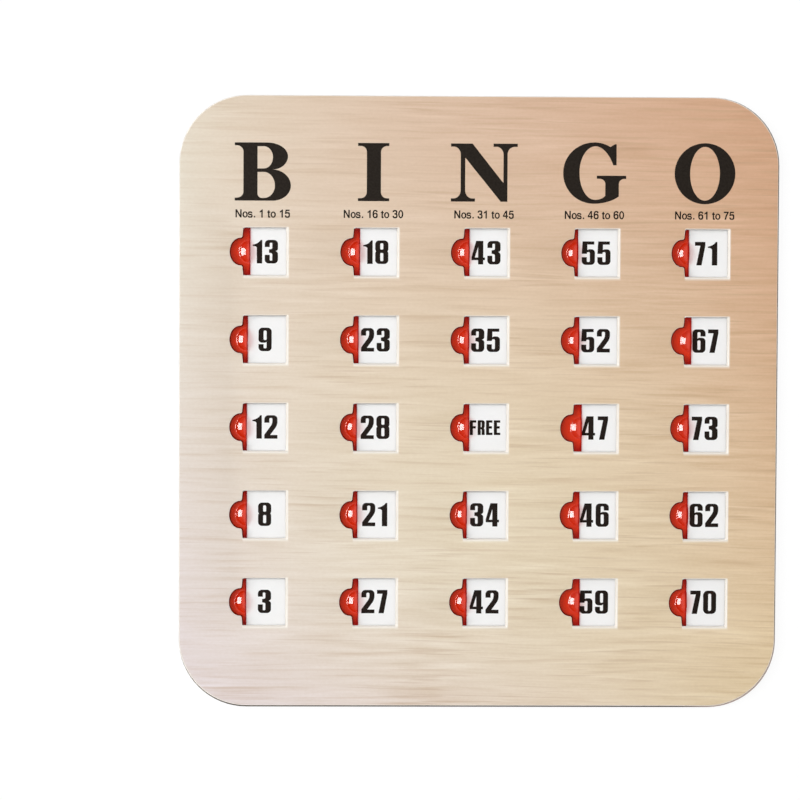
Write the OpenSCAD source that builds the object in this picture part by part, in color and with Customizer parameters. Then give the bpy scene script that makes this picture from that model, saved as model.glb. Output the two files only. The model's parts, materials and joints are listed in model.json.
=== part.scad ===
// Reusable bingo card: a five-ply board with five rows of five windows, each with a sliding shutter.
// The card lies face up. X runs along the rows, Y up the columns and Z out of the face,
// and the origin is the middle of the back.

/* [Card] */
// Face above the top row of windows
header_h = 41.85; // [30:0.05:60]
// Face below the bottom row of windows
footer_h = 25.85; // [24:0.05:40]
// Board between the left edge of the card and its nearest pockets
edge_wall = 2.6; // [1.5:0.1:8]
// Board between one pocket and the next along a row
column_wall = 3.6; // [2:0.1:10]
// Board between one pocket and the next up a column
row_wall = 8.9; // [4:0.1:20]
// Radius of the four corners
corner_r = 21.5; // [5:0.5:24]

/* [Plies] */
// Thickness of the printed paper on the front
print_t = 0.15; // [0.1:0.01:0.3]
// Thickness of the white board under the print
face_t = 0.45; // [0.3:0.05:0.8]
// Thickness of the grey core board that holds the shutters
core_t = 1.5; // [1.3:0.1:2.5]
// Thickness of the paper that carries the numbers
number_t = 0.2; // [0.1:0.05:0.4]
// Thickness of the white board on the back
back_t = 0.4; // [0.2:0.05:0.8]

/* [Windows] */
// Width of a window
window_w = 13.7; // [10:0.1:20]
// Height of a window
window_h = 15.1; // [12:0.1:22]
// Radius of the thumb notch in a window's left edge
notch_r = 4.3; // [3.6:0.1:5]
// How far a window's left edge slants out, from its corner to the notch
lip_slant = 0.35; // [0.1:0.05:0.6]

/* [Shutters] */
// Thickness of a shutter's panel and of its hollow thumb bump
shutter_t = 0.4; // [0.3:0.05:0.5]
// How far a shutter reaches under the face, above and below its window
shutter_lap = 1.6; // [1:0.1:2.4]
// How far a closed shutter reaches under the face, past its notch
notch_lap = 0.6; // [0.3:0.1:0.8]
// Rounding of a shutter's corners
shutter_corner_r = 0.5; // [0.2:0.1:1]
// Radius of the thumb bump at a shutter's right edge
bump_r = 3.6; // [3:0.1:4]
// How far the top of the bump lies below the front of the card
bump_sink = 0.15; // [0.05:0.05:0.4]
// Width of the runner along the top and the bottom of a shutter
runner_w = 0.8; // [0.5:0.1:1]
// Width of the strip of shutter that an open window still shows
open_strip = 0.9; // [0.5:0.1:1.5]
// Most that an open shutter has drifted back across its window
drift = 1.8; // [0.5:0.1:2.5]
// Room around a shutter in the plane of the card
side_gap = 0.3; // [0.2:0.05:0.4]
// Room under a shutter and over its runners
lift_gap = 0.1; // [0.05:0.01:0.15]

/* [Hidden] */
$fn = 64;
column_names = ["b", "i", "n", "g", "o"];
row_count = 5;
columns = [0 : len(column_names) - 1];
rows = [0 : row_count - 1];

// Share of the drift that each shutter has used, row by row from the top
drift_shares = [
    [0.70, 0.55, 0.40, 0.10, 0.25],
    [0.30, 0.35, 0.40, 0.40, 0.80],
    [0.15, 0.10, 0.50, 0.95, 0.45],
    [0.20, 0.25, 0.15, 0.65, 0.40],
    [0.10, 0.45, 0.20, 0.80, 0.30]
];

// Heights of the plies' lower faces, from the back of the card up
number_z = back_t;
core_z = number_z + number_t;
face_z = core_z + core_t;
print_z = face_z + face_t;
card_t = print_z + print_t;

// A shutter and its pocket, measured from the window's left edge
closed_x = window_w - side_gap;
shutter_l = closed_x + notch_r + notch_lap;
shutter_h = window_h + 2 * shutter_lap;
shutter_z = core_z + lift_gap;
panel_top_z = shutter_z + shutter_t;
runner_top_z = face_z - lift_gap;
pocket_left_x = open_strip - shutter_l - side_gap;
pocket_h = shutter_h + 2 * side_gap;

// The grid of windows, and the card around it
// A window with its notch is as far from the left edge in the first column as from the right in the last
column_pitch = window_w - pocket_left_x + column_wall;
row_pitch = pocket_h + row_wall;
side_margin = edge_wall - pocket_left_x - notch_r;
card_w = (len(column_names) - 1) * column_pitch + notch_r + window_w + 2 * side_margin;
card_h = header_h + (row_count - 1) * row_pitch + window_h + footer_h;
first_window_x = side_margin + notch_r - card_w / 2;
first_row_y = card_h / 2 - header_h - window_h / 2;

// The bump is a cap of a sphere that stands on the panel
bump_top_z = card_t - bump_sink;
bump_h = bump_top_z - panel_top_z;
bump_sphere_r = (bump_r * bump_r + bump_h * bump_h) / (2 * bump_h);
bump_centre_z = bump_top_z - bump_sphere_r;

function window_x(column) = first_window_x + column * column_pitch;
function row_y(row) = first_row_y - row * row_pitch;
function shutter_name(column, row) = str("shutter_", column_names[column], row + 1);
function rest_x(column, row) = window_x(column) + open_strip + drift * drift_shares[row][column];

// Rectangle with round corners, about the origin
module round_rectangle(w, h, r) {
    square([w - 2 * r, h], center = true);
    square([w, h - 2 * r], center = true);
    for (x = [-1, 1], y = [-1, 1])
        translate([x * (w / 2 - r), y * (h / 2 - r)])
            circle(r);
}

// Puts its child at the left edge of every window, at mid height
module at_windows() {
    for (column = columns, row = rows)
        translate([window_x(column), row_y(row)])
            children();
}

// One ply of the card: its outline less the child cut at every window
module ply(z, thickness) {
    translate([0, 0, z])
        linear_extrude(thickness)
            difference() {
                round_rectangle(card_w, card_h, corner_r);
                at_windows() children();
            }
}

// Window and thumb notch, with the corners of the window's left edge on the Y axis
module window_outline() {
    lip_y = notch_r - lip_slant;
    polygon([
        [window_w, -window_h / 2],
        [window_w, window_h / 2],
        [0, window_h / 2],
        [-lip_slant, lip_y],
        [-lip_slant, -lip_y],
        [0, -window_h / 2]
    ]);
    circle(notch_r);
}

// Pocket that a shutter slides in, from its open end to the window's right edge
module pocket_outline() {
    translate([pocket_left_x, -pocket_h / 2])
        square([window_w - pocket_left_x, pocket_h]);
}

module back_board() {
    color("whitesmoke")
        ply(0, back_t);
}

module number_sheet() {
    color("white")
        ply(number_z, number_t);
}

module core_board() {
    color("dimgray")
        ply(core_z, core_t)
            pocket_outline();
}

module face_board() {
    color("whitesmoke")
        ply(face_z, face_t)
            window_outline();
}

module face_print() {
    color("burlywood")
        ply(print_z, print_t)
            window_outline();
}

// Flat panel of a shutter, with its right edge on the Y axis
module shutter_panel() {
    translate([-shutter_l / 2, 0, shutter_z])
        linear_extrude(shutter_t)
            round_rectangle(shutter_l, shutter_h, shutter_corner_r);
}

// Low ribs along a shutter's top and bottom, which run under the face
module shutter_runners() {
    runner_l = shutter_l - 2 * shutter_corner_r;
    for (side = [-1, 1])
        translate([-shutter_l / 2, side * (shutter_h - runner_w) / 2, (shutter_z + runner_top_z) / 2])
            cube([runner_l, runner_w, runner_top_z - shutter_z], center = true);
}

// The half of a sphere's cap that lies left of x, from the panel's underside up
module half_cap(r, x) {
    intersection() {
        translate([0, 0, bump_centre_z])
            sphere(r);
        translate([x - 2 * bump_r, -bump_r - shutter_t, shutter_z])
            cube([2 * bump_r, 2 * (bump_r + shutter_t), bump_top_z]);
    }
}

module shutter(column, row) {
    color("red")
        translate([rest_x(column, row), row_y(row), 0])
            difference() {
                union() {
                    shutter_panel();
                    shutter_runners();
                    half_cap(bump_sphere_r, 0);
                }
                half_cap(bump_sphere_r - shutter_t, -shutter_t);
            }
}

back_board();
number_sheet();
core_board();
face_board();
face_print();
for (column = columns, row = rows)
    shutter(column, row);
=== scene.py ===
"""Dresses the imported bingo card: wood-grain print, cut edges, clear red shutters, letters and numbers.

Shapes are worked out in millimetres, in the frame of the CAD part, and go into the meshes in metres.
"""
import json
import math

import bpy
import numpy as np
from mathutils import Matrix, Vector
from mathutils.geometry import delaunay_2d_cdt


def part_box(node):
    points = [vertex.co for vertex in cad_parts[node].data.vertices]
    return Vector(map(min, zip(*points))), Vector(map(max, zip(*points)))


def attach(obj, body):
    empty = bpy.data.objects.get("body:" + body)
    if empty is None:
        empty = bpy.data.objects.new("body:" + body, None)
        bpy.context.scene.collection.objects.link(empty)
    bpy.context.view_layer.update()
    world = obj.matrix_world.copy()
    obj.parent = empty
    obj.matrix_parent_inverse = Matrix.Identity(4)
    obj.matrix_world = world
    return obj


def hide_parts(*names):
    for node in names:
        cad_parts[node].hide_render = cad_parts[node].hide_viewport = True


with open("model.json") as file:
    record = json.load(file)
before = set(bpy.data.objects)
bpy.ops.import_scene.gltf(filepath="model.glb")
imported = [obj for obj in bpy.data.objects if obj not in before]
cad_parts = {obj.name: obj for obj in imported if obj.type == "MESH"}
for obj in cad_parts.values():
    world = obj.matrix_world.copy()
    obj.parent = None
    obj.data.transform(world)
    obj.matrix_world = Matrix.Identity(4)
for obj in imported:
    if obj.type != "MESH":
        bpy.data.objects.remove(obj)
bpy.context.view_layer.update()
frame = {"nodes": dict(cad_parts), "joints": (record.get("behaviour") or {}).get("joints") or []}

MM = 0.001

# How delaunay_2d_cdt fills outlines: the inside of the first, less the others
INSIDE_LESS_HOLES = 2
FILL_TOLERANCE = 1e-6

# Points of an outline that are closer than this are one point
SAME_POINT = 1e-5

# Steps around a rounded corner
CORNER_STEPS = 8
CARD_STEPS = 24
WINDOW_STEPS = 10
GLYPH_STEPS = 12

# Openings in the face
WINDOW_W = 13.7
WINDOW_H = 15.1
NOTCH_R = 4.3
LIP_SLANT = 0.31
LIP_ROUND = 0.6
WINDOW_ROUND = 0.4
OPEN_STRIP = 0.9
CARD_CORNER_R = 21.5

# Rim of a window, level by level from its foot up to where the print has its full colour past its pale rim
# with painted light: how far it stands back from the opening on the left, below, on the right and above
RIM_FOOT = (-0.18, -0.10, -0.16, 0)
RIM_ROLL = (-0.08, 0.06, 0.08, 0.03)
RIM_UNDER_PRINT = (0.06, 0.20, 0.32, 0.12)
RIM_AT_FACE = (0.12, 0.28, 0.44, 0.20)
RIM_LIGHT_END = (0.16, 1.35, 0.95, 0.50)

# The same for the card's outer edge, where the core shows past the face below and on the right
EDGE_FOOT = (0, 0.40, 0.30, 0)
EDGE_ROLL = (0, 0.40, 0.31, 0.04)
EDGE_UNDER_PRINT = (0.06, 0.44, 0.34, 0.10)
EDGE_AT_FACE = (0.12, 0.52, 0.38, 0.16)
EDGE_LIGHT_END = (0.40, 0.74, 0.54, 0.34)

# How far the top of the rim's foot, its roll and the start of the painted light on the print's rim lie below
# the face
FOOT_DEPTH = 0.50
ROLL_DEPTH = 0.28
RIM_LIGHT_DEPTH = 0.008

# How pale the print's rim is at each of its three levels, from its cut edge and from painted light
RIM_LIGHT_BY_LEVEL = [1.0, 1.0, 0.0]

# How far the painted shade beside the plastic stays off a window's corners, and how far it reaches sideways
SHADE_CLEAR = 0.15
SHADE_REACH = 0.6

# Attributes that the materials read
RIM_LIGHT = "pale_rim_with_painted_light"
SHADED = "painted_shade_by_notch"
# The plastic's depth, with painted shade added at a shutter's right edge and its ends
DEPTH_AND_SHADE = "plastic_depth_and_painted_shade"

# Shutters
SHUTTER_CORNER_R = 0.5
SHUTTER_T = 0.4
BUMP_R = 3.6
BUMP_BLEND = 0.22
BUMP_SPREAD = 0.6
EDGE_ROUND = 0.12
RUNNER_W = 0.8
RUNNER_T = 1.3
RUNNER_SLOPE = 0.06
HOLLOW_STEP = 0.01

# Painted shade along a shutter's right edge and at that edge's ends, added to its depth in shares of the
# panel's, and its reach
EDGE_SHADE = 1.5
EDGE_SHADE_W = 0.5
END_SHADE = 0.9
END_SHADE_W = 6.0
END_SHADE_H = 3.2

# Printing
INK_T = 0.02
LETTER_H = 18.35
LETTER_SHIFT = -0.8
LETTER_BASE_UP = 16.1
CAPTION_H = 2.50
CAPTION_BASE_UP = 10.8
CAPTION_W = 18.85
FIRST_CAPTION_W = 17.2
NUMBER_H = 7.45
NUMBER_GAP = 0.8
FREE_H = 4.7
FREE_GAP = 0.42

COLUMNS = "bingo"
NUMBERS = {
    "b": ["13", "9", "12", "8", "3"],
    "i": ["18", "23", "28", "21", "27"],
    "n": ["43", "35", "FREE", "34", "42"],
    "g": ["55", "52", "47", "46", "59"],
    "o": ["71", "67", "73", "62", "70"],
}
CAPTIONS = {
    "b": ("Nos. 1 to 15", FIRST_CAPTION_W),
    "i": ("Nos. 16 to 30", CAPTION_W),
    "n": ("Nos. 31 to 45", CAPTION_W),
    "g": ("Nos. 46 to 60", CAPTION_W),
    "o": ("Nos. 61 to 75", CAPTION_W),
}


def node_box(node):
    """Lowest and highest corner of a CAD node at rest, in millimetres."""
    return [np.array(corner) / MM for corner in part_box(node)]


PRINT_LOW, PRINT_HIGH = node_box("face_print")
FACE_TOP = PRINT_HIGH[2]
PRINT_BASE = PRINT_LOW[2]
BOARD_BASE = node_box("face_board")[0][2]
SHEET_TOP = node_box("number_sheet")[1][2]
CARD_W, CARD_H = (PRINT_HIGH - PRINT_LOW)[:2]


def window_place(joint):
    """Name, left edge and middle height of a window, from its shutter's box and the slide's lower limit."""
    low, high = node_box(joint["child"])
    left = high[0] + joint["range_m"][0] / MM - OPEN_STRIP
    return joint["child"].removeprefix("shutter_"), left, (low[1] + high[1]) / 2


WINDOWS = {name: (left, middle) for name, left, middle in map(window_place, frame["joints"])}


# Outlines and slabs

def box_corners(left, low, right, high, r):
    """Corners of a rectangle, all rounded alike."""
    return [(left, low, r), (right, low, r), (right, high, r), (left, high, r)]


def ellipse_corners(left, low, right, high):
    """Corners of a rectangle, rounded until an ellipse is left."""
    w, h = (right - left) / 2, (high - low) / 2
    return [(left, low, h, w), (right, low, w, h), (right, high, h, w), (left, high, w, h)]


def rounded(corners, steps=CORNER_STEPS):
    """Closed outline through corners (x, y), (x, y, r) or (x, y, r_in, r_out), rounded by conic arcs.

    An arc leaves one side r_in before the corner and meets the next r_out after it. It is a rational
    quadratic whose middle weight is the cosine of half the turn, so equal lengths give a circle.
    """
    table = np.array([(*corner, *corner[2:], 0, 0)[:4] for corner in corners], float)
    point = table[:, :2]
    back = np.roll(point, 1, axis=0) - point
    back /= np.linalg.norm(back, axis=1, keepdims=True)
    ahead = np.roll(point, -1, axis=0) - point
    ahead /= np.linalg.norm(ahead, axis=1, keepdims=True)
    weight = np.sqrt((1 - np.sum(back * ahead, axis=1)) / 2)[:, None, None]
    start = (point + table[:, 2:3] * back)[:, None]
    end = (point + table[:, 3:4] * ahead)[:, None]
    t = np.linspace(0, 1, steps + 1)[None, :, None]
    ends, middle = (1 - t) ** 2, 2 * weight * t * (1 - t)
    path = (ends * start + middle * point[:, None] + t ** 2 * end) / (ends + middle + t ** 2)
    path = path.reshape(-1, 2)
    moved = np.linalg.norm(path - np.roll(path, 1, axis=0), axis=1)
    return path[moved > SAME_POINT]


def turned(loop, sign):
    """The outline running anticlockwise for sign 1 and clockwise for sign -1, by its signed area."""
    after = np.roll(loop, -1, axis=0)
    area = np.sum(loop[:, 0] * after[:, 1] - loop[:, 1] * after[:, 0])
    return loop if area * sign > 0 else loop[::-1]


def cap(loops, start, up):
    """Triangles that fill the first outline less the others, numbered from start and facing up or down."""
    sizes = np.cumsum([0] + [len(loop) for loop in loops])
    points = [Vector(point) for point in np.vstack(loops)]
    outlines = [list(range(low, high)) for low, high in zip(sizes, sizes[1:])]
    filled = delaunay_2d_cdt(points, [], outlines, INSIDE_LESS_HOLES, FILL_TOLERANCE)
    assert len(filled[0]) == len(points), "outlines cross"
    triangles = np.array(filled[2]) + start
    return triangles if up else triangles[:, ::-1]


def slab(levels):
    """Vertices and faces of a closed slab: outlines carried up through (outlines, z) levels and capped.

    The first outline is the outside and the others are holes. Each has as many points at every level.
    """
    levels = [([turned(loop, 1 if i == 0 else -1) for i, loop in enumerate(loops)], z) for loops, z in levels]
    sizes = [len(loop) for loop in levels[0][0]]
    count = sum(sizes)
    verts = np.vstack([np.column_stack([np.vstack(loops), np.full(count, z)]) for loops, z in levels])
    starts = np.cumsum([0] + sizes[:-1])
    here = np.arange(count)
    after = np.concatenate([start + np.roll(np.arange(size), -1) for start, size in zip(starts, sizes)])
    ring = np.column_stack([here, after, after + count, here + count])
    walls = np.vstack([ring + i * count for i in range(len(levels) - 1)])
    top = cap(levels[-1][0], (len(levels) - 1) * count, True)
    bottom = cap(levels[0][0], 0, False)
    return verts, [*walls.tolist(), *top.tolist(), *bottom.tolist()]


def joined(parts):
    """Several (vertices, faces) as one."""
    starts = np.cumsum([0] + [len(verts) for verts, _ in parts])
    faces = [[int(i + start) for i in face] for start, (_, fs) in zip(starts, parts) for face in fs]
    return np.vstack([verts for verts, _ in parts]), faces


def quads_between(number, after):
    """Faces of a grid: number holds its points' numbers, and after those of their neighbours along a row."""
    return np.stack([number[:-1], number[1:], after[1:], after[:-1]], axis=-1).reshape(-1, 4)


def make_piece(name, shape, material, body, stands_for=None, smooth=30):
    """Puts (vertices, faces) in millimetres into a mesh object that rides on a body.

    It is shaded smooth up to an angle in degrees, and may stand for a CAD node, which it hides.
    """
    verts, faces = shape
    mesh = bpy.data.meshes.new(name)
    mesh.from_pydata((verts * MM).tolist(), [], faces)
    mesh.polygons.foreach_set("use_smooth", np.ones(len(faces), bool))
    mesh.set_sharp_from_angle(angle=math.radians(smooth))
    mesh.materials.append(material)
    obj = bpy.data.objects.new(name, mesh)
    bpy.context.scene.collection.objects.link(obj)
    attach(obj, body)
    if stands_for:
        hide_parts(stands_for)
    return obj


def mark(obj, attribute, values):
    """Gives each vertex of a piece a value that its material can read."""
    obj.data.attributes.new(attribute, "FLOAT", "POINT").data.foreach_set("value", values)


# Materials

class Wire:
    """A node's output in a material. Arithmetic on it adds Math nodes, and node() adds any other node."""

    def __init__(self, tree, socket=None):
        self.tree = tree
        self.socket = socket

    def node(self, kind, inputs=None, output=0, **settings):
        """Adds a node: its settings first, then the values or links of its sockets, by name or number.

        A socket that is given None stays as it is.
        """
        node = self.tree.nodes.new("ShaderNode" + kind)
        for key, value in settings.items():
            setattr(node, key, value)
        for key, value in (inputs or {}).items():
            if isinstance(value, Wire):
                self.tree.links.new(value.socket, node.inputs[key])
            elif value is not None:
                node.inputs[key].default_value = value
        return Wire(self.tree, node.outputs[output] if node.outputs else None)

    def out(self, name):
        """Another output of the same node."""
        return Wire(self.tree, self.socket.node.outputs[name])

    def math(self, operation, *values):
        """A Math node on the values."""
        return self.node("Math", dict(enumerate(values)), operation=operation)

    def __add__(self, other):
        return self.math("ADD", self, other)

    __radd__ = __add__

    def __mul__(self, other):
        return self.math("MULTIPLY", self, other)

    def __sub__(self, other):
        return self.math("SUBTRACT", self, other)

    def __rsub__(self, other):
        return self.math("SUBTRACT", other, self)

    def power(self, exponent):
        """This value to the power of exponent."""
        return self.math("POWER", self, exponent)

    def varied(self, base, rise):
        """Value that is base where this one is 0, and has risen by rise where it is 1."""
        return base + self * rise

    def mixed(self, other, share):
        """This value with a share of another in it."""
        return self * (1 - share) + other * share

    def ramp(self, low, high, start=0.0, end=1.0):
        """Smooth step from start to end as this value goes from low to high."""
        sockets = {"Value": self, "From Min": low, "From Max": high, "To Min": start, "To Max": end}
        return self.node("MapRange", sockets, interpolation_type="SMOOTHSTEP")

    def blend(self, first, second):
        """Colour that goes from first to second as this value goes from 0 to 1."""
        return self.node("Mix", {0: self, 6: first, 7: second}, 2, data_type="RGBA")

    def tinted(self, other):
        """This colour times another."""
        sockets = {0: 1.0, 6: self, 7: other}
        return self.node("Mix", sockets, 2, data_type="RGBA", blend_type="MULTIPLY")

    def scaled(self, x, y, z):
        """This vector times (x, y, z)."""
        return self.node("VectorMath", {0: self, 1: (x, y, z)}, operation="MULTIPLY")

    def noise(self, detail=2.0, roughness=0.5):
        """Fractal noise at this vector, about 0.5."""
        sockets = {"Vector": self, "Scale": 1.0, "Detail": detail, "Roughness": roughness}
        return self.node("TexNoise", sockets)

    def grain(self, length, height, detail=2.0):
        """Noise over the plane whose marks are about that long along X and that high along Y."""
        return self.scaled(1 / length, 1 / height, 0).noise(detail)


WHITE = (1, 1, 1, 1)
MATT_ROUGHNESS = 0.7

# Middle of a noise, and the range that most of its values lie in
NOISE_MIDDLE = 0.5
NOISE_RANGE = (0.3, 0.7)


def srgb(red, green, blue):
    """Linear colour of an sRGB colour given in 0 to 255."""
    share = np.array([red, green, blue]) / 255
    linear = np.where(share <= 0.04045, share / 12.92, ((share + 0.055) / 1.055) ** 2.4)
    return (*linear.tolist(), 1.0)


def new_material(name):
    """An empty node material: itself, a Wire to add nodes with, and its object coordinates in millimetres."""
    material = bpy.data.materials.new(name)
    material.use_nodes = True
    material.node_tree.nodes.clear()
    wire = Wire(material.node_tree)
    place = wire.node("TexCoord", output="Object").scaled(1 / MM, 1 / MM, 1 / MM)
    return material, wire, place


def finish_material(wire, shader):
    """Links a shader to the material's output."""
    wire.node("OutputMaterial", {"Surface": shader})


def bump(wire, height, depth, strength=1.0):
    """Normal of a surface whose relief follows a value, in shares of a depth in millimetres."""
    return wire.node("Bump", {"Height": height, "Distance": depth * MM, "Strength": strength})


def principled(wire, colour, roughness, gloss=0.0, normal=None):
    """A plain surface of a colour, with its roughness and its share of gloss."""
    return wire.node("BsdfPrincipled", {"Base Color": colour, "Roughness": roughness,
                                        "Specular IOR Level": gloss, "Normal": normal})


def mirror(wire, roughness, normal=None):
    """A white mirror, blurred by its roughness."""
    return wire.node("BsdfGlossy", {"Color": WHITE, "Roughness": roughness, "Normal": normal})


def under_film(wire, colour, share, roughness, normal=None):
    """A matt colour with a thin glossy film, which mirrors the same share at every angle."""
    matt = principled(wire, colour, MATT_ROUGHNESS)
    return wire.node("MixShader", {0: share, 1: matt, 2: mirror(wire, roughness, normal)})


# Share of the light that the film over the print and the ink's own sheen mirror
PRINT_FILM = 0.035
INK_FILM = 0.006

# Tones of the print: left and right at the head and at the foot, and in the middle of the lower half. The
# rose-grey at the lower left is partly painted reflection of the light on the film.
HEAD_TONES = (srgb(221, 212, 194), srgb(207, 161, 127))
# The rose-grey at the left holds painted reflection as well as the print's own tone
FOOT_TONES = (srgb(221, 209, 209), srgb(224, 203, 165))
MIDDLE_TONE = srgb(243, 247, 204)
HEAD_DRIFT = 0.6
FOOT_DRIFT = 1.5
MIDDLE_SHARE = 6

# Marks of the grain: their length along the rows and their height, in millimetres
SWAY = (80, 40)
STREAK = (30, 1.9)
FINE = (9, 0.6)
BAND = (110, 9)
FLECK = (1.1, 0.7)
CLUSTER = (45, 14)
WANDER = (150, 14)
STRETCH = (30, 3)
THREAD = (30, 0.9)
RING_PITCH = 2.8
SPECK_CELL = 34

# Where marks come in: shares of a ring's pitch, levels of the noise that shows rings and threads, levels of
# a cell's own value that give it a speck, and the speck's soft rim in shares of a cell
RING_RISE = (0.45, 0.97)
STRETCH_LEVELS = (0.46, 0.68)
THREAD_LEVELS = (0.57, 0.70)
SPECK_LEVELS = (0.66, 0.70)
SPECK_RIM = (0.004, 0.010)

# How far the grain sways up and down, how fast it climbs along a row, and how many rings it wanders across
SWAY_UP = 2.6
CLIMB = 0.012
WANDER_RINGS = 3.5

# How much each kind of mark shows
STREAK_SHARE = 1.8
FINE_SHARE = 0.7
BAND_SHARE = 0.6
FLECK_SHARE = 0.25
RING_SHARE = 0.55
THREAD_SHARE = 0.38
SPECK_SHARE = 0.6

# Strength of the marks at the upper left, and what is added towards the right and the foot
LEAST_STRENGTH = 0.32
RIGHT_STRENGTH = 0.38
FOOT_STRENGTH = 0.12

# How weak and how strong streaks and threads get from patch to patch
CLUSTER_STRENGTH = (0.5, 1.4)

# Tints of the darkest and the palest grain, and the colours of the other marks and of the rim, which is
# pale from its cut edge and from painted light
GRAIN_TINTS = ((0.87, 0.82, 0.75, 1), (1.13, 1.18, 1.25, 1))
RING_TONE = srgb(186, 152, 116)
THREAD_TONE = srgb(178, 144, 110)
SPECK_TONE = srgb(120, 100, 84)
RIM_LIGHT_TONE = srgb(243, 237, 228)
RIM_LIGHT_CURVE = 1.6

# Surface of the print: its roughness with what the fine streaks add, and its relief, which they share
PRINT_ROUGHNESS = (0.36, 0.12)
PRINT_RELIEF = 0.02
PRINT_RELIEF_STRENGTH = 0.5
FINE_RELIEF_SHARE = 0.5


def lit_print_tone(right, height, lower):
    """Colour of the print without its grain.

    It goes by how far right and how high a point lies, and by its share of the foot's tones. It drifts from
    cream to peach along the head and from rose-grey to straw along the foot, and pales in the middle of the
    lower half. The rose-grey at the lower left is partly painted reflection of the light on the film.
    """
    head = right.power(HEAD_DRIFT).blend(*HEAD_TONES)
    foot = right.blend(*FOOT_TONES)
    below = 1 - height
    middle = right * (1 - right) * height * below * below * MIDDLE_SHARE
    return middle.blend(lower.blend(head, foot), MIDDLE_TONE)


def wood_print():
    """Pale wood-grain print under a satin film.

    Streaks, fine streaks, broad bands and flecks darken and lighten its tone, most on the right. Over them
    lie rings that show in stretches, thin brown threads in patches, and a few specks. At the rims of the
    print, which an attribute marks, its colour turns pale: partly its cut edge, partly painted light.
    """
    material, wire, place = new_material("wood_print")
    axes = wire.node("SeparateXYZ", {0: place})
    across, up = axes.out("X"), axes.out("Y")
    right = across * (1 / CARD_W) + 0.5
    height = up * (1 / CARD_H) + 0.5
    lower = (1 - height).power(FOOT_DRIFT)

    swayed_up = up + place.grain(*SWAY) * SWAY_UP + across * CLIMB
    swayed = wire.node("CombineXYZ", {0: across, 1: swayed_up})
    streak = swayed.grain(*STREAK)
    fine = swayed.grain(*FINE)
    band = swayed.grain(*BAND, detail=1.0)
    fleck = place.grain(*FLECK, detail=1.0)
    cluster = place.grain(*CLUSTER, detail=1.0).ramp(*NOISE_RANGE, *CLUSTER_STRENGTH)
    strength = right * RIGHT_STRENGTH + lower * lower * FOOT_STRENGTH + LEAST_STRENGTH
    grain = (streak - NOISE_MIDDLE) * cluster * STREAK_SHARE + (fine - NOISE_MIDDLE) * FINE_SHARE
    grain = (grain + (band - NOISE_MIDDLE) * BAND_SHARE) * strength + (fleck - NOISE_MIDDLE) * FLECK_SHARE
    colour = lit_print_tone(right, height, lower).tinted((grain + NOISE_MIDDLE).blend(*GRAIN_TINTS))

    turns = swayed_up * (1 / RING_PITCH) + place.grain(*WANDER) * WANDER_RINGS
    ring = turns.math("FRACT", turns).ramp(*RING_RISE)
    shown = swayed.grain(*STRETCH).ramp(*STRETCH_LEVELS)
    colour = (ring * shown * strength * RING_SHARE).blend(colour, RING_TONE)
    thread = swayed.grain(*THREAD, detail=1.0).ramp(*THREAD_LEVELS)
    colour = (thread * cluster * strength * THREAD_SHARE).blend(colour, THREAD_TONE)
    cells = place.scaled(1 / SPECK_CELL, 1 / SPECK_CELL, 0)
    cell = wire.node("TexVoronoi", {"Vector": cells, "Scale": 1.0}, "Distance")
    chosen = wire.node("SeparateColor", {0: cell.out("Color")}).ramp(*SPECK_LEVELS)
    speck = cell.ramp(*SPECK_RIM, 1.0, 0.0) * chosen
    colour = (speck * SPECK_SHARE).blend(colour, SPECK_TONE)
    # Painted light: the print pales at its rims, widest where a rim faces the light
    rim_light = wire.node("Attribute", output="Fac", attribute_name=RIM_LIGHT)
    colour = rim_light.power(RIM_LIGHT_CURVE).blend(colour, RIM_LIGHT_TONE)

    roughness = fine.varied(*PRINT_ROUGHNESS)
    normal = bump(wire, streak.mixed(fine, FINE_RELIEF_SHARE), PRINT_RELIEF, PRINT_RELIEF_STRENGTH)
    finish_material(wire, under_film(wire, colour, PRINT_FILM, roughness, normal))
    return material


# White boards: fibres and mottles in a millimetre, the mottles' share of the tone, the roughness with what
# the fibres add, their relief, the gloss, and the dark red painted shade on a cut edge beside red plastic
FIBRES = (3.0, 9.0, 3.0)
MOTTLES = (0.12, 0.12, 0.12)
MOTTLE_SHARE = 0.4
BOARD_ROUGHNESS = (0.55, 0.25)
FIBRE_RELIEF = 0.03
BOARD_GLOSS = 0.3
# Painted shade: the dark red of the board's cut edge at each notch
NOTCH_SHADE_RED = srgb(118, 20, 8)


def white_board(name, colour, shade, shaded=None):
    """White pulp board with fine fibres, a little mottled.

    Where shaded names an attribute, the board is a cut edge without gloss, with dark red painted shade where
    that marks it.
    """
    material, wire, place = new_material(name)
    fibre = place.scaled(*FIBRES).noise(detail=3.0)
    mottle = place.scaled(*MOTTLES).noise()
    tone = fibre.mixed(mottle, MOTTLE_SHARE).ramp(*NOISE_RANGE).blend(shade, colour)
    if shaded:
        # Painted shade on the cut edge where the attribute marks it
        tone = wire.node("Attribute", output="Fac", attribute_name=shaded).blend(tone, NOTCH_SHADE_RED)
    gloss = 0.0 if shaded else BOARD_GLOSS
    relief = bump(wire, fibre, FIBRE_RELIEF)
    finish_material(wire, principled(wire, tone, fibre.varied(*BOARD_ROUGHNESS), gloss, relief))
    return material


# Chipboard: flecks, layers and pale specks in a millimetre, with their shares and levels
CHIP_FLECKS = (1.6, 1.6, 5.0)
CHIP_LAYERS = (0.05, 0.05, 6.0)
CHIP_SPECKS = (4.0, 4.0, 9.0)
LAYER_SHARE = 0.4
CHIP_RANGE = (0.32, 0.68)
CHIP_TONES = (srgb(98, 86, 76), srgb(146, 134, 122))
PALE_CHIP = srgb(190, 180, 168)
PALE_LEVELS = (0.64, 0.72)
PALE_SHARE = 0.5

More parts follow.
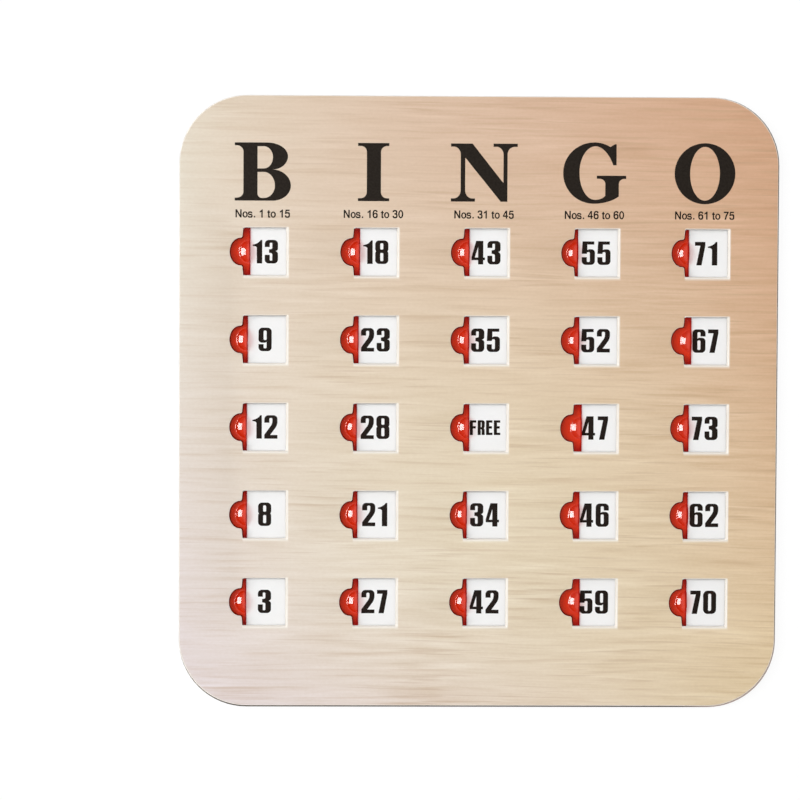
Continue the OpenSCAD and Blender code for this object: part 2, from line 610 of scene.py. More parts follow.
# Painted shade on its top along the card's lower edge, and its paler lower right corner,
# with their reach and depth in millimetres
FOOT_SHADE_TONE = srgb(52, 42, 38)
FOOT_SHADE_SHARE = 0.8
FOOT_SHADE_REACH = (1, 8)
FOOT_SHADE_DEPTH = (0.2, 0.02)
PALE_CORNER_TONE = srgb(208, 188, 178)
PALE_CORNER_SHARE = 0.75
PALE_CORNER_REACH = (14, 34)

# Its roughness with what the flecks add, its gloss, and its relief in millimetres
CHIP_ROUGHNESS = (0.8, 0.15)
CHIP_GLOSS = 0.2
CHIP_RELIEF = 0.08


def chipboard():
    """Grey-brown chipboard: pressed layers along its edge, with pale and dark flecks of fibre.

    Its top has painted shade where it shows along the card's lower edge, and is paler at the lower right
    corner.
    """
    material, wire, place = new_material("chipboard")
    axes = wire.node("SeparateXYZ", {0: place})
    foot = -CARD_H / 2
    corner = wire.node("VectorMath", {0: place, 1: (CARD_W / 2, foot, 0)}, "Value", operation="DISTANCE")
    pale_corner = corner.ramp(*PALE_CORNER_REACH, PALE_CORNER_SHARE, 0.0)
    foot_shade = axes.out("Y").ramp(foot + FOOT_SHADE_REACH[0], foot + FOOT_SHADE_REACH[1], FOOT_SHADE_SHARE, 0.0)
    foot_shade_top = axes.out("Z").ramp(BOARD_BASE - FOOT_SHADE_DEPTH[0], BOARD_BASE - FOOT_SHADE_DEPTH[1])
    fleck = place.scaled(*CHIP_FLECKS).noise(detail=4.0, roughness=0.65)
    layer = place.scaled(*CHIP_LAYERS).noise()
    speck = place.scaled(*CHIP_SPECKS).noise(detail=1.0).ramp(*PALE_LEVELS)
    tone = fleck.mixed(layer, LAYER_SHARE).ramp(*CHIP_RANGE).blend(*CHIP_TONES)
    tone = (speck * PALE_SHARE).blend(tone, PALE_CHIP)
    # Painted shade along the card's lower edge, then the paler lower right corner
    tone = pale_corner.blend((foot_shade * foot_shade_top).blend(tone, FOOT_SHADE_TONE), PALE_CORNER_TONE)
    relief = bump(wire, fleck, CHIP_RELIEF)
    finish_material(wire, principled(wire, tone, fleck.varied(*CHIP_ROUGHNESS), CHIP_GLOSS, relief))
    return material


# Red plastic: what it lets through where it is thin and thick, its haze, and the depths between the two
CLEAR_RED = (0.965, 0.46, 0.30, 1)
DEEP_RED = (0.76, 0.11, 0.04, 1)
HAZE_TONES = (srgb(206, 28, 18), srgb(222, 38, 26))
HAZE_SHARE = 0.06
DEEPENING = (1.04, 2.2)
PLASTIC_IOR = 1.55

# Its flow marks in a millimetre, their relief, and what they add to the roughness of the haze and the shine
FLOW_MARKS = (0.25, 0.7, 0.5)
FLOW_RELIEF = 0.02
FLOW_STRENGTH = 0.12
HAZE_ROUGHNESS = (0.3, 0.2)
SHINE_ROUGHNESS = (0.03, 0.05)

# Printing ink: its mottles in a millimetre, and its roughness with what they add
INK_MOTTLES = (1.5, 1.5, 0)
INK_ROUGHNESS = (0.42, 0.16)


def red_plastic():
    """Clear red moulded plastic: see-through, deeper red where it is thick and where painted shade adds
    depth, with a slight haze.

    It is mirror-like by Fresnel on its outside, with faint flow marks.
    """
    material, wire, place = new_material("clear_red_plastic")
    flow = place.scaled(*FLOW_MARKS).noise()
    normal = bump(wire, flow, FLOW_RELIEF, FLOW_STRENGTH)
    clear = wire.node("BsdfTransparent", {"Color": CLEAR_RED})
    deep = wire.node("BsdfTransparent", {"Color": DEEP_RED})
    thick = wire.node("Attribute", output="Fac", attribute_name=DEPTH_AND_SHADE).ramp(*DEEPENING)
    body = wire.node("MixShader", {0: thick, 1: clear, 2: deep})
    haze_tone = flow.ramp(*NOISE_RANGE).blend(*HAZE_TONES)
    haze = principled(wire, haze_tone, flow.varied(*HAZE_ROUGHNESS))
    body = wire.node("MixShader", {0: HAZE_SHARE, 1: body, 2: haze})
    outside = 1 - wire.node("NewGeometry", output="Backfacing")
    share = wire.node("Fresnel", {"IOR": PLASTIC_IOR, "Normal": normal}) * outside
    shine = mirror(wire, flow.varied(*SHINE_ROUGHNESS), normal)
    finish_material(wire, wire.node("MixShader", {0: share, 1: body, 2: shine}))
    return material


def ink(name, shade, colour):
    """Near-black printing ink, a little uneven, with a slight sheen."""
    material, wire, place = new_material(name)
    mottle = place.scaled(*INK_MOTTLES).noise(detail=3.0)
    tone = mottle.ramp(*NOISE_RANGE).blend(shade, colour)
    finish_material(wire, under_film(wire, tone, INK_FILM, mottle.varied(*INK_ROUGHNESS)))
    return material


PRINT = wood_print()
CUT_BOARD = white_board("white_cut_board", srgb(240, 234, 226), srgb(234, 227, 217), SHADED)
SHEET = white_board("number_paper", srgb(241, 241, 241), srgb(238, 238, 237))
BACK = white_board("back_paper", srgb(243, 241, 236), srgb(234, 231, 225))
CHIPBOARD = chipboard()
RED = red_plastic()
INK = ink("black_ink", srgb(30, 24, 19), srgb(38, 32, 26))
NUMBER_INK = ink("brown_black_ink", srgb(24, 17, 13), srgb(34, 25, 20))

for node, material in [("core_board", CHIPBOARD), ("number_sheet", SHEET), ("back_board", BACK)]:
    frame["nodes"][node].data.materials.clear()
    frame["nodes"][node].data.materials.append(material)


# Face of the card

def card_outline(edge):
    """The card's outer edge: its box less the four distances in edge, with round corners."""
    left, low = PRINT_LOW[:2] + edge[:2]
    right, high = PRINT_HIGH[:2] - edge[2:]
    return rounded(box_corners(left, low, right, high, CARD_CORNER_R), CARD_STEPS)


def window_outline(place, rim):
    """A window with its thumb notch, wider by the four distances in rim.

    The notch is a half circle on the left edge, which slants out to it, and all corners are eased.
    """
    left, low, right, high = rim
    notch = NOTCH_R + left
    run = NOTCH_R - LIP_SLANT - LIP_ROUND
    corners = rounded([
        (WINDOW_W + right, -WINDOW_H / 2 - low, WINDOW_ROUND),
        (WINDOW_W + right, WINDOW_H / 2 + high, WINDOW_ROUND),
        (-left, WINDOW_H / 2 + high, WINDOW_ROUND),
        (-left - LIP_SLANT, notch, LIP_ROUND),
        (-notch, notch, run, notch),
        (-notch, -notch, notch, run),
        (-left - LIP_SLANT, -notch, LIP_ROUND),
        (-left, -WINDOW_H / 2 - low, WINDOW_ROUND),
    ], WINDOW_STEPS)
    return corners + np.array(place)


def face_level(edge, rim, z):
    """Outlines of the face at one height: the card's edge and its windows."""
    return [card_outline(edge), *(window_outline(place, rim) for place in WINDOWS.values())], z


UNDER_PRINT = face_level(EDGE_UNDER_PRINT, RIM_UNDER_PRINT, PRINT_BASE)
face_shape = slab([
    UNDER_PRINT,
    face_level(EDGE_AT_FACE, RIM_AT_FACE, FACE_TOP - RIM_LIGHT_DEPTH),
    face_level(EDGE_LIGHT_END, RIM_LIGHT_END, FACE_TOP),
])
board_shape = slab([
    face_level(EDGE_FOOT, RIM_FOOT, BOARD_BASE),
    face_level(EDGE_FOOT, RIM_FOOT, FACE_TOP - FOOT_DEPTH),
    face_level(EDGE_ROLL, RIM_ROLL, FACE_TOP - ROLL_DEPTH),
    UNDER_PRINT,
])


def notch_shade_mask(verts):
    """Mask of painted shade: 1 at the points of a window's left edge and notch, 0 elsewhere."""
    apart = verts[:, None, :2] - np.array(list(WINDOWS.values()))[None]
    level = np.abs(apart[..., 1]) < WINDOW_H / 2 - SHADE_CLEAR
    left = np.abs(apart[..., 0] + NOTCH_R / 2) < NOTCH_R / 2 + SHADE_REACH
    return (level & left).any(axis=1).astype(float)


printed_face = make_piece("printed_face", face_shape, PRINT, "card", "face_print")
# Marks the print's pale rim, partly its cut edge and partly painted light
mark(printed_face, RIM_LIGHT, np.repeat(RIM_LIGHT_BY_LEVEL, len(face_shape[0]) // len(RIM_LIGHT_BY_LEVEL)))
cut_face_board = make_piece("cut_face_board", board_shape, CUT_BOARD, "card", "face_board")
# Painted shade on the cut board at each window's left edge and notch
mark(cut_face_board, SHADED, notch_shade_mask(board_shape[0]))


# Shutters

def lines(*stretches):
    """Grid lines along (from, to, count) stretches, in rising order and each once."""
    return np.unique(np.concatenate([np.linspace(*stretch) for stretch in stretches]).round(4))


def soft_max(a, b, width):
    """The higher of two heights, with a fillet of that width where they cross."""
    share = np.clip(0.5 + 0.5 * (a - b) / width, 0, 1)
    return b + (a - b) * share + width * share * (1 - share)


def shutter_plan(length, half):
    """Grid over a panel with round corners, closer where its surface bends.

    The right edge is at x = 0, and the panel reaches half up and half down from y = 0.
    """
    rim = EDGE_ROUND
    bump_end = BUMP_R + BUMP_SPREAD
    runner = half - RUNNER_W
    u = lines((-length, -length + rim, 4), (-length + rim, -length + SHUTTER_CORNER_R, 3),
              (-length + SHUTTER_CORNER_R, -bump_end, 8), (-bump_end, -SHUTTER_T, 22),
              (-SHUTTER_T, -rim, 3), (-SHUTTER_T + HOLLOW_STEP, -rim, 2), (-rim, 0, 5))
    v = lines((0, bump_end, 24), (bump_end, runner - RUNNER_SLOPE, 4), (runner - RUNNER_SLOPE, runner, 3),
              (runner, half - rim, 4), (half - rim, half, 4))
    x, y = np.meshgrid(u, np.unique(np.concatenate([-v, v])), indexing="ij")
    over = np.clip(np.abs(y) - (half - SHUTTER_CORNER_R), 0, SHUTTER_CORNER_R)
    pinch = SHUTTER_CORNER_R - np.sqrt(SHUTTER_CORNER_R ** 2 - over ** 2)
    return -length / 2 + (x + length / 2) * (1 - 2 * pinch / length), y


def shutter_shape(low, high):
    """Closed shell of a shutter: its top and its underside are heights over one plan, joined around the rim.

    The top is the higher of the panel, its two runners and a cap of a sphere about the middle of the right
    edge, eased at the rim. The underside is hollow below that cap. With the shell comes its depth from top to
    underside at each point, in shares of the panel's, with painted shade added as more depth along the right
    edge and at its ends, which darkens the red there.
    """
    length, height = (high - low)[:2]
    half, floor, crown = height / 2, low[2], high[2]
    x, y = shutter_plan(length, half)

    panel = floor + SHUTTER_T
    rise = crown - panel
    ball_r = (BUMP_R ** 2 + rise ** 2) / (2 * rise)
    reach = np.hypot(x, y)
    ball = crown - ball_r + np.sqrt(np.clip(ball_r ** 2 - reach ** 2, 0, None))
    hollow = crown - ball_r + np.sqrt(np.clip((ball_r - SHUTTER_T) ** 2 - reach ** 2, 0, None))
    rib = np.clip((np.abs(y) - (half - RUNNER_W - RUNNER_SLOPE)) / RUNNER_SLOPE, 0, 1)
    along = np.clip((length / 2 - SHUTTER_CORNER_R - np.abs(x + length / 2)) / RUNNER_SLOPE + 1, 0, 1)
    top = soft_max(np.full_like(x, panel), ball, BUMP_BLEND) + (RUNNER_T - SHUTTER_T) * rib * along
    edge = np.minimum(np.minimum(-x, length + x), half - np.abs(y))
    ease = np.clip(EDGE_ROUND - edge, 0, EDGE_ROUND)
    top = top - (EDGE_ROUND - np.sqrt(EDGE_ROUND ** 2 - ease ** 2))
    under = np.where(x < -SHUTTER_T, np.maximum(floor, hollow), floor)

    plan = np.column_stack([x.ravel(), y.ravel()]) + [(high[0], (low[1] + high[1]) / 2)]
    verts = np.vstack([np.column_stack([plan, top.ravel()]), np.column_stack([plan, under.ravel()])])
    number = np.arange(x.size).reshape(x.shape)
    quads = quads_between(number[:, :-1], number[:, 1:])
    ring = np.concatenate([number[:-1, 0], number[-1, :-1], number[:0:-1, -1], number[0, :0:-1]])
    after = np.roll(ring, -1)
    wall = np.column_stack([ring + x.size, after + x.size, after, ring])
    faces = [*quads.tolist(), *(quads[:, ::-1] + x.size).tolist(), *wall.tolist()]

    # Painted shade, added as depth: at the ends of the right edge, where the face shades the strip, and along
    # that edge
    end = np.clip((np.abs(y) - WINDOW_H / 2) / END_SHADE_H + 1, 0, 1) * np.clip(1 + x / END_SHADE_W, 0, 1)
    side = np.clip(1 + x / EDGE_SHADE_W, 0, 1)
    depth = (top - under) / SHUTTER_T + EDGE_SHADE * side + END_SHADE * end
    return (verts, faces), np.tile(depth.ravel(), 2)


for name in WINDOWS:
    node = "shutter_" + name
    shape, depth = shutter_shape(*node_box(node))
    slider = make_piece("slider_" + name, shape, RED, node, node, smooth=40)
    # The attribute holds the plastic's depth with its painted shade
    mark(slider, DEPTH_AND_SHADE, depth)


# Printing

def stroke(corners, width):
    """Outline of a line of that width along an open path with rounded corners."""
    path = rounded(corners)
    along = np.gradient(path, axis=0)
    along /= np.linalg.norm(along, axis=1, keepdims=True)
    side = np.column_stack([-along[:, 1], along[:, 0]]) * width / 2
    return np.vstack([path + side, (path - side)[::-1]]).tolist()


DIGIT_W = 0.56
SIX = [
    [(0, 1, 0.17), (0.56, 1, 0.17), (0.56, 0.70), (0.345, 0.70), (0.345, 0.88, 0.05), (0.215, 0.88, 0.05),
     (0.215, 0.60), (0.27, 0.64, 0.03), (0.56, 0.64, 0.15), (0.56, 0, 0.17), (0, 0, 0.17)],
    box_corners(0.215, 0.12, 0.345, 0.53, 0.055),
]

# Outlines in shares of the glyph's height: the outside first, then the holes
GLYPHS = {
    "B": [
        [(0, 1), (0.916, 1, 0.36, 0.233), (0.916, 0.538, 0.229, 0.259), (0.657, 0.538),
         (0.966, 0.525, 0.309, 0.266), (0.966, 0, 0.259, 0.309), (0, 0), (0, 0.05),
         (0.149, 0.055, 0.11, 0.1), (0.149, 0.945, 0.1, 0.11), (0, 0.95)],
        [(0.392, 0.936), (0.657, 0.936, 0.16, 0.189), (0.657, 0.554, 0.193, 0.16), (0.392, 0.554)],
        [(0.392, 0.494), (0.691, 0.494, 0.19, 0.235), (0.691, 0.046, 0.213, 0.19), (0.392, 0.046, 0.08)],
    ],
    "I": [
        [(0, 1), (0.54, 1), (0.54, 0.95), (0.397, 0.945, 0.1), (0.397, 0.055, 0.1), (0.54, 0.05), (0.54, 0),
         (0, 0), (0, 0.05), (0.153, 0.055, 0.1), (0.153, 0.945, 0.1), (0, 0.95)],
    ],
    "N": [
        [(0, 1), (0.3725, 1), (0.907, 0.323), (0.907, 0.945, 0.14, 0.12), (0.7336, 0.945), (0.7336, 1),
         (1.151, 1), (1.151, 0.945), (0.977, 0.945, 0.12, 0.13), (0.977, 0), (0.862, 0), (0.248, 0.756),
         (0.248, 0.056, 0.14, 0.12), (0.4176, 0.056), (0.4176, 0), (0, 0), (0, 0.056),
         (0.169, 0.056, 0.12, 0.14), (0.169, 0.945, 0.14, 0.12), (0, 0.945)],
    ],
    "G": [
        [(0, 1.03, 0.52, 0.536), (0.69, 1.03, 0.154, 0.145), (0.8127, 0.952), (0.89, 1), (0.921, 1),
         (0.921, 0.638), (0.8636, 0.638), (0.75, 0.963, 0.344, 0.192), (0.281, 0.963, 0.277, 0.45),
         (0.281, 0.042, 0.468, 0.27), (0.66, 0.042, 0.109, 0.09), (0.7285, 0.11), (0.7285, 0.405, 0.09, 0.1),
         (0.58, 0.405), (0.58, 0.458), (1.089, 0.458), (1.089, 0.405), (0.963, 0.405, 0.1, 0.09),
         (0.963, 0.1), (0.78, -0.026, 0.21, 0.255), (0, -0.026, 0.525, 0.52)],
    ],
    "O": [ellipse_corners(0, -0.026, 1.052, 1.026), ellipse_corners(0.269, 0.037, 0.783, 0.963)],
    "F": [
        [(0, 0), (0, 1), (0.44, 1), (0.44, 0.84), (0.21, 0.84), (0.21, 0.60), (0.40, 0.60), (0.40, 0.44),
         (0.21, 0.44), (0.21, 0)],
    ],
    "R": [
        [(0, 0), (0, 1), (0.48, 1, 0.16), (0.48, 0.50, 0.10), (0.42, 0.46), (0.48, 0.40, 0.07), (0.48, 0),
         (0.27, 0), (0.27, 0.38, 0.05), (0.215, 0.40), (0.215, 0)],
        [(0.215, 0.54), (0.27, 0.54, 0.03), (0.27, 0.86, 0.03), (0.215, 0.86)],
    ],
    "E": [
        [(0, 0), (0, 1), (0.43, 1), (0.43, 0.84), (0.215, 0.84), (0.215, 0.60), (0.40, 0.60), (0.40, 0.44),
         (0.215, 0.44), (0.215, 0.16), (0.44, 0.16), (0.44, 0)],
    ],
    "0": [box_corners(0, 0, 0.56, 1, 0.2), box_corners(0.215, 0.13, 0.345, 0.87, 0.06)],
    "1": [
        [(0.406, 1), (0.406, 0), (0.176, 0), (0.176, 0.745, 0.085, 0.17), (0, 0.745), (0, 0.80),
         (0.25, 0.84, 0.25, 0.18), (0.335, 1)],
    ],
    "2": [
        [(0, 0.68), (0, 1, 0.17), (0.56, 1, 0.17), (0.56, 0.58, 0.16), (0.25, 0.16), (0.56, 0.16), (0.56, 0),
         (0, 0), (0, 0.17), (0.345, 0.64, 0.12), (0.345, 0.88, 0.05), (0.215, 0.88, 0.05), (0.215, 0.68)],
    ],
    "3": [
        [(0, 0.70), (0, 1, 0.17), (0.56, 1, 0.17), (0.56, 0.56, 0.08), (0.46, 0.53), (0.56, 0.48, 0.08),
         (0.56, 0, 0.17), (0, 0, 0.17), (0, 0.37), (0.21, 0.37), (0.21, 0.12, 0.04), (0.32, 0.12, 0.04),
         (0.32, 0.43, 0.05), (0.18, 0.46), (0.18, 0.60), (0.32, 0.62, 0.05), (0.32, 0.88, 0.04),
         (0.21, 0.88, 0.04), (0.21, 0.70)],
    ],
    "4": [
        [(0.196, 1), (0.5, 1), (0.5, 0.293), (0.568, 0.293), (0.568, 0.18), (0.5, 0.18), (0.5, 0), (0.279, 0),
         (0.279, 0.18), (0, 0.18), (0, 0.314)],
        [(0.279, 0.74), (0.279, 0.293), (0.14, 0.293)],
    ],
    "5": [
        [(0.03, 1), (0.53, 1), (0.53, 0.865), (0.235, 0.865), (0.235, 0.63), (0.29, 0.665, 0.04),
         (0.56, 0.665, 0.15), (0.56, 0, 0.17), (0, 0, 0.17), (0, 0.33), (0.215, 0.33), (0.215, 0.12, 0.05),
         (0.345, 0.12, 0.05), (0.345, 0.545, 0.05), (0.215, 0.545, 0.05), (0.215, 0.47), (0, 0.47)],
    ],
    "6": SIX,
    "7": [[(0, 1), (0.444, 1), (0.444, 0.84), (0.29, 0), (0.062, 0), (0.23, 0.835), (0, 0.835)]],
    "8": [
        [(0, 1, 0.17), (0.56, 1, 0.17), (0.56, 0.58, 0.06), (0.52, 0.535), (0.56, 0.49, 0.06),
         (0.56, 0, 0.17), (0, 0, 0.17), (0, 0.49, 0.06), (0.04, 0.535), (0, 0.58, 0.06)],
        box_corners(0.215, 0.61, 0.345, 0.88, 0.05),
        box_corners(0.215, 0.12, 0.345, 0.47, 0.05),
    ],
    "9": [[(DIGIT_W - x, 1 - y, *r) for x, y, *r in loop] for loop in SIX],
}

SMALL_S = stroke([
    (0.51, 0.50), (0.51, 0.665, 0.13), (0.08, 0.665, 0.13), (0.08, 0.39, 0.12),
    (0.55, 0.345, 0.12), (0.55, 0.05, 0.13), (0.055, 0.05, 0.13), (0.055, 0.22)], 0.18)

# Thin type for the captions, in shares of its capitals' height: the step to the next glyph, then the outlines
SMALL_GLYPHS = {
    " ": (0.39, []),
    ".": (0.39, [[(0.10, -0.01), (0.30, -0.01), (0.30, 0.185), (0.10, 0.185)]]),
    "N": (1.01, [[
        (0.085, -0.01), (0.085, 1.01), (0.29, 1.01), (0.73, 0.32), (0.73, 1.01), (0.925, 1.01),
        (0.925, -0.01), (0.72, -0.01), (0.28, 0.68), (0.28, -0.01)]]),
    "o": (0.78, [ellipse_corners(0.025, -0.035, 0.755, 0.76), ellipse_corners(0.22, 0.12, 0.56, 0.605)]),
    "s": (0.70, [SMALL_S]),
    "t": (0.42, [[
        (0.10, 0.86), (0.29, 0.95), (0.29, 0.755), (0.41, 0.755), (0.41, 0.595), (0.29, 0.595),
        (0.29, 0.14, 0.07), (0.40, 0.145), (0.415, -0.02), (0.10, -0.035, 0.14, 0.13), (0.10, 0.595),
        (0.005, 0.595), (0.005, 0.755), (0.10, 0.755)]]),
    "0": (0.78, [ellipse_corners(0.035, -0.035, 0.735, 1.02), ellipse_corners(0.23, 0.13, 0.54, 0.855)]),
    "1": (0.78, [[
        (0.42, 1.01), (0.55, 1.01), (0.55, -0.01), (0.355, -0.01), (0.355, 0.735), (0.275, 0.67, 0.05),
        (0.125, 0.605), (0.125, 0.785), (0.31, 0.885, 0.1)]]),
    "3": (0.78, [[
        (0.045, 0.72), (0.045, 1.02, 0.24, 0.26), (0.695, 1.02, 0.26, 0.2), (0.695, 0.55, 0.17, 0.1),
        (0.58, 0.53), (0.735, 0.51, 0.1, 0.2), (0.735, -0.035, 0.24, 0.28), (0.035, -0.035, 0.28, 0.24),
        (0.035, 0.28), (0.22, 0.305), (0.22, 0.135, 0.12, 0.14), (0.54, 0.135, 0.14, 0.12),
        (0.54, 0.44, 0.11, 0.14), (0.285, 0.44), (0.285, 0.62), (0.51, 0.62, 0.12, 0.1),
        (0.51, 0.85, 0.11, 0.13), (0.23, 0.85, 0.13, 0.09), (0.23, 0.75)]]),
    "4": (0.78, [[
        (0.40, 1.01), (0.60, 1.01), (0.60, 0.39), (0.72, 0.39), (0.72, 0.215), (0.60, 0.215),
        (0.60, -0.01), (0.41, -0.01), (0.41, 0.215), (0.005, 0.215), (0.005, 0.38)],
        [(0.41, 0.39), (0.41, 0.725), (0.19, 0.39)]]),
    "5": (0.78, [[
        (0.13, 1.005), (0.68, 1.005), (0.68, 0.83), (0.275, 0.83), (0.25, 0.655), (0.34, 0.685, 0.06),
        (0.735, 0.685, 0.22), (0.735, -0.035, 0.24, 0.28), (0.035, -0.035, 0.28, 0.24), (0.035, 0.28),
        (0.225, 0.295), (0.225, 0.135, 0.12, 0.14), (0.54, 0.135, 0.14, 0.13), (0.54, 0.505, 0.13, 0.14),
        (0.235, 0.505, 0.12, 0.05), (0.215, 0.45), (0.035, 0.46)]]),
    "6": (0.78, [[
        (0.715, 0.74), (0.715, 1.02, 0.2, 0.26), (0.035, 1.02, 0.3, 0.4), (0.035, -0.035, 0.4, 0.3),
        (0.735, -0.035, 0.28, 0.26), (0.735, 0.665, 0.24, 0.26), (0.27, 0.665, 0.14, 0.06),
        (0.225, 0.575), (0.225, 0.85, 0.25, 0.16), (0.53, 0.85, 0.13, 0.1), (0.53, 0.725)],
        ellipse_corners(0.23, 0.135, 0.545, 0.495)]),
    "7": (0.78, [[
        (0.045, 1.005), (0.735, 1.005), (0.735, 0.87), (0.495, 0.485, 0.2), (0.36, -0.01), (0.16, -0.01),
        (0.31, 0.535, 0.2), (0.505, 0.83), (0.045, 0.83)]]),
}


def ink_slab(outlines, z):
    """A glyph's outlines as a slab of ink on the paper at z, sunk half its depth."""
    return slab([(outlines, z - INK_T / 2), (outlines, z + INK_T / 2)])


def ink_word(word, centre, base, size, gap, z):
    """A word of ink slabs about a centre line: each glyph's outlines at that height, gap apart."""
    glyphs = [[rounded(corners, GLYPH_STEPS) * size for corners in GLYPHS[character]] for character in word]
    widths = [np.ptp(glyph[0][:, 0]) for glyph in glyphs]
    starts = np.cumsum([0] + [width + gap for width in widths[:-1]])
    left = centre - (starts[-1] + widths[-1]) / 2
    return joined([ink_slab([loop + [left + start - glyph[0][:, 0].min(), base] for loop in glyph], z)
                   for start, glyph in zip(starts, glyphs)])


def caption(words, centre, base, width):
    """A line of small thin type as ink slabs, set by each glyph's step and stretched to a width."""
    steps, glyphs = zip(*(SMALL_GLYPHS[character] for character in words))
    starts = np.cumsum((0, *steps[:-1]))
    placed = [[rounded(corners) + [start, 0] for corners in glyph]
              for start, glyph in zip(starts, glyphs) if glyph]
    left, right = placed[0][0][:, 0].min(), placed[-1][0][:, 0].max()
    scale = np.array([width / (right - left), CAPTION_H])
    shift = np.array([centre - width / 2 - left * scale[0], base])
    return joined([ink_slab([loop * scale + shift for loop in glyph], FACE_TOP) for glyph in placed])


def column_centre(column):
    """Middle of a column's print, which sits a little left of its windows."""
    return WINDOWS[column + "1"][0] + WINDOW_W / 2 + LETTER_SHIFT


FIRST_ROW = WINDOWS["b1"][1]
make_piece("header_letters", joined([
    ink_word(column.upper(), column_centre(column), FIRST_ROW + LETTER_BASE_UP, LETTER_H, 0, FACE_TOP)
    for column in COLUMNS]), INK, "card")
make_piece("range_captions", joined([
    caption(words, column_centre(column), FIRST_ROW + CAPTION_BASE_UP, width)
    for column, (words, width) in CAPTIONS.items()]), INK, "card")


def number_slabs(column, row, word):
    """A window's number, or its word in the free window, in the middle of the window on the paper."""
    left, middle = WINDOWS[f"{column}{row + 1}"]
    size, gap = (NUMBER_H, NUMBER_GAP) if word.isdigit() else (FREE_H, FREE_GAP)
    return ink_word(word, left + WINDOW_W / 2, middle - size / 2, size, gap, SHEET_TOP)


make_piece("window_numbers", joined([
    number_slabs(column, row, word)
    for column in COLUMNS for row, word in enumerate(NUMBERS[column])]), NUMBER_INK, "card")


# Stage, light and camera

# White floor and wall, in metres
COVE_R = 5.0
COVE_H = 1.6
COVE_BEND = 0.8
COVE_BEND_STEPS = 13
COVE_SIDES = 96
FLOOR_RINGS = [0.001, 0.4, 1.5]
FLOOR_GAP = 0.0002

# How they glow where they are seen: close to the card, and wholly beyond the far reach, in millimetres
COVE_WHITE = (0.92, 0.92, 0.92, 1)
GLOW_LEVEL = 1.03
NEAR_GLOW = 0.85
NEAR_REACH = 300
FAR_REACH = 1500
WORLD_LEVEL = 0.18

# Camera, with lengths in metres and its lens and sensor in millimetres
CAMERA_AIM = Vector((-0.0250, 0.0008, 0.0027))
CAMERA_DISTANCE = 1.0
CAMERA_LEAN = math.radians(2.4)
CAMERA_TURN = math.radians(1.2)
CAMERA_ROLL = math.radians(0.25)
CAMERA_LENS = 141.9
CAMERA_SENSOR = 36.0


def white_cove():
    """White floor and wall: matt where they light the card.

    Where they are seen they mostly glow, and far off wholly.
    """
    material, wire, place = new_material("white_cove")
    rays = wire.node("LightPath", output="Is Camera Ray")
    seen = rays.math("MAXIMUM", rays, rays.out("Is Glossy Ray"))
    seen = seen.math("MAXIMUM", seen, rays.out("Is Transmission Ray"))
    reach = wire.node("VectorMath", {0: place}, "Value", operation="LENGTH")
    glow_share = reach.ramp(NEAR_REACH, FAR_REACH, NEAR_GLOW, 1.0)
    matt = wire.node("BsdfDiffuse", {"Color": COVE_WHITE})
    glow = wire.node("Emission", {"Color": WHITE, "Strength": GLOW_LEVEL})
    finish_material(wire, wire.node("MixShader", {0: seen * glow_share, 1: matt, 2: glow}))
    return material


def cove_shape():
    """A round floor that bends up into a wall: a profile turned about the card's middle."""
    bend = np.linspace(0, math.pi / 2, COVE_BEND_STEPS)
    radius = np.concatenate([FLOOR_RINGS, COVE_R - COVE_BEND + COVE_BEND * np.sin(bend), [COVE_R]])
    flat = np.zeros(len(FLOOR_RINGS))
    height = np.concatenate([flat, COVE_BEND * (1 - np.cos(bend)), [COVE_H]]) - FLOOR_GAP
    turn = np.linspace(0, 2 * math.pi, COVE_SIDES, endpoint=False)
    r, a = np.meshgrid(radius, turn, indexing="ij")
    verts = np.column_stack([(r * np.cos(a)).ravel(), (r * np.sin(a)).ravel(), np.repeat(height, len(turn))])
    number = np.arange(len(verts)).reshape(r.shape)
    quads = quads_between(number, np.roll(number, -1, axis=1))
    return verts, [*quads.tolist(), number[0].tolist()]


cove_mesh = bpy.data.meshes.new("cove")
cove_verts, cove_faces = cove_shape()
cove_mesh.from_pydata(cove_verts.tolist(), [], cove_faces)
cove_mesh.materials.append(white_cove())
cove = bpy.data.objects.new("cove", cove_mesh)
bpy.context.scene.collection.objects.link(cove)

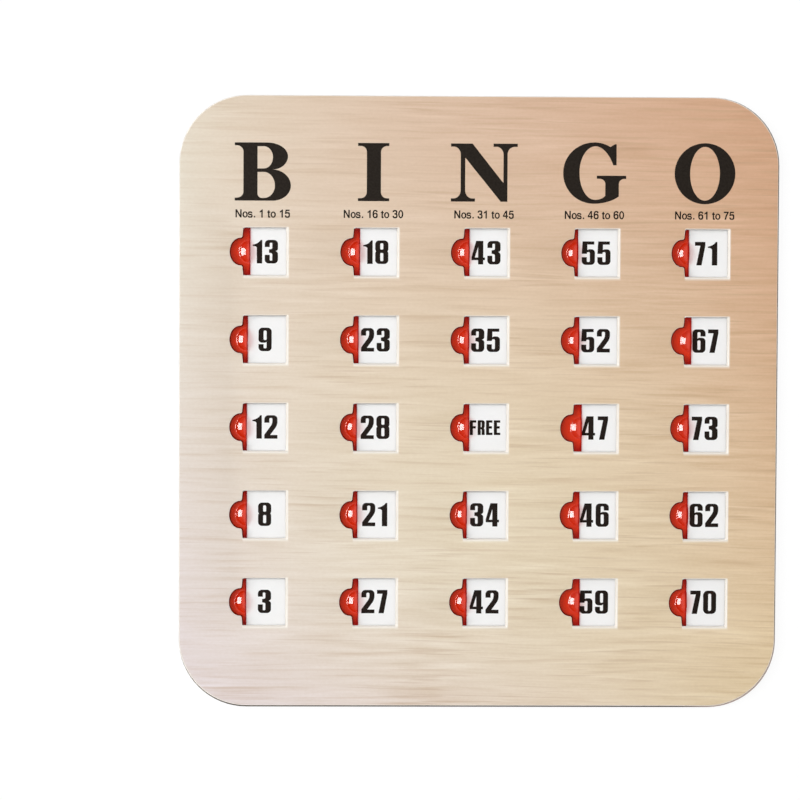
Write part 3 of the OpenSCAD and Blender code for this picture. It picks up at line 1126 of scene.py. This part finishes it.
world = bpy.data.worlds.new("studio")
bpy.context.scene.world = world
world.use_nodes = True
world.node_tree.nodes.clear()
room = Wire(world.node_tree)
background = room.node("Background", {"Color": WHITE, "Strength": WORLD_LEVEL})
room.node("OutputWorld", {"Surface": background})


def softbox(name, level, azimuth, tilt, distance, width, height, matt=True, gloss=True):
    """Rectangular lamp aimed at the card, tilt from straight up, that adds that level to a white face.

    It may be left out of what matt surfaces, or glossy reflections, receive.
    """
    lamp = bpy.data.lights.new(name, "AREA")
    lamp.shape = "RECTANGLE"
    lamp.size, lamp.size_y = width, height
    turn, lean = math.radians(azimuth), math.radians(tilt)
    lamp.energy = level * math.pi ** 2 * distance ** 2 / math.cos(lean)
    obj = bpy.data.objects.new(name, lamp)
    towards = Vector((math.cos(turn) * math.sin(lean), math.sin(turn) * math.sin(lean), math.cos(lean)))
    obj.location = towards * distance
    obj.rotation_mode = "QUATERNION"
    obj.rotation_quaternion = (-towards).to_track_quat("-Z", "Y")
    obj.visible_diffuse = matt
    obj.visible_glossy = gloss
    bpy.context.scene.collection.objects.link(obj)


softbox("overhead_softbox", level=0.51, azimuth=110, tilt=4, distance=1.6, width=0.9, height=0.9, gloss=False)
softbox("side_softbox", level=0.42, azimuth=168, tilt=48, distance=2.4, width=1.5, height=1.7, gloss=False)
softbox("glint_softbox", level=1.50, azimuth=178, tilt=59, distance=2.0, width=1.5, height=1.5, matt=False)
softbox("sheen_softbox", level=0.30, azimuth=180, tilt=20, distance=1.3, width=4.0, height=0.58, matt=False)

camera = bpy.data.objects.new("camera", bpy.data.cameras.new("camera"))
bpy.context.scene.collection.objects.link(camera)
camera.rotation_euler = (-CAMERA_LEAN, -CAMERA_TURN, CAMERA_ROLL)
camera.location = CAMERA_AIM + camera.rotation_euler.to_matrix() @ Vector((0, 0, CAMERA_DISTANCE))
camera.data.sensor_width = CAMERA_SENSOR
camera.data.lens = CAMERA_LENS
bpy.context.scene.camera = camera
bpy.context.scene.view_settings.view_transform = "Standard"
